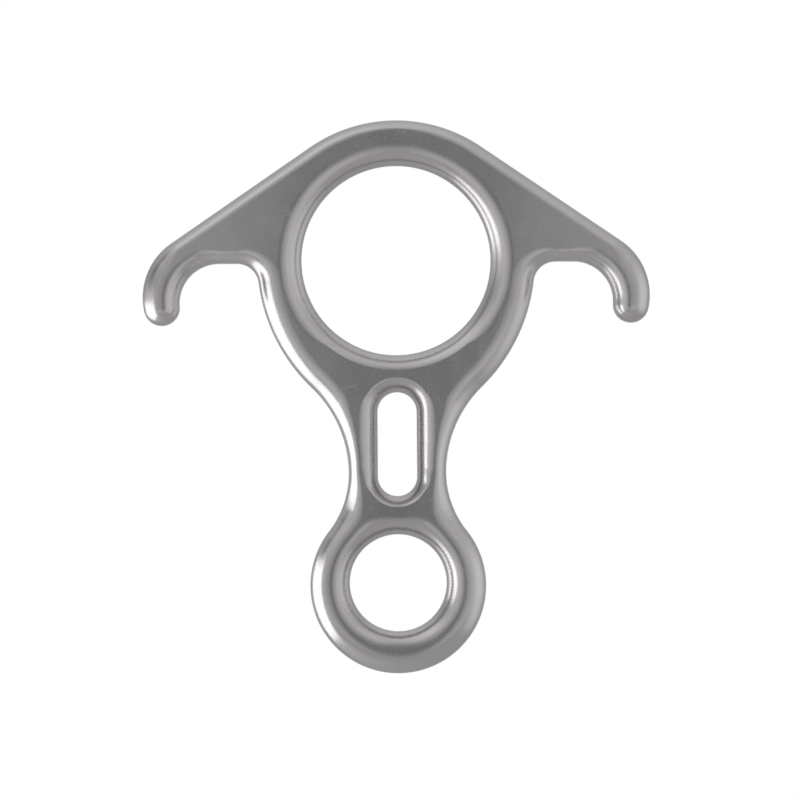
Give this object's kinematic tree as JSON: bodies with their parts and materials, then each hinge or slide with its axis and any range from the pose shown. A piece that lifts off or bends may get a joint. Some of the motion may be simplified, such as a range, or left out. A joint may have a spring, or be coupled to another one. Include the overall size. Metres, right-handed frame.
{
  "type": "figure eight descender",
  "caption": "Forged aluminium rescue figure eight descender: rope ring with wings and curled ears, slotted neck, small carabiner eye.",
  "frame": {"origin": "centre of the small carabiner eye, halfway through the thickness", "axes": "+Z from the small eye up to the rope ring, +X to the right seen from the front, front face towards -Y"},
  "size_m": [0.1344, 0.0126, 0.1465],
  "materials": {
    "forged_aluminium": "tumbled and polished bright"
  },
  "bodies": {
    "root": {"descender_body": "forged_aluminium"}
  },
  "joints": []
}
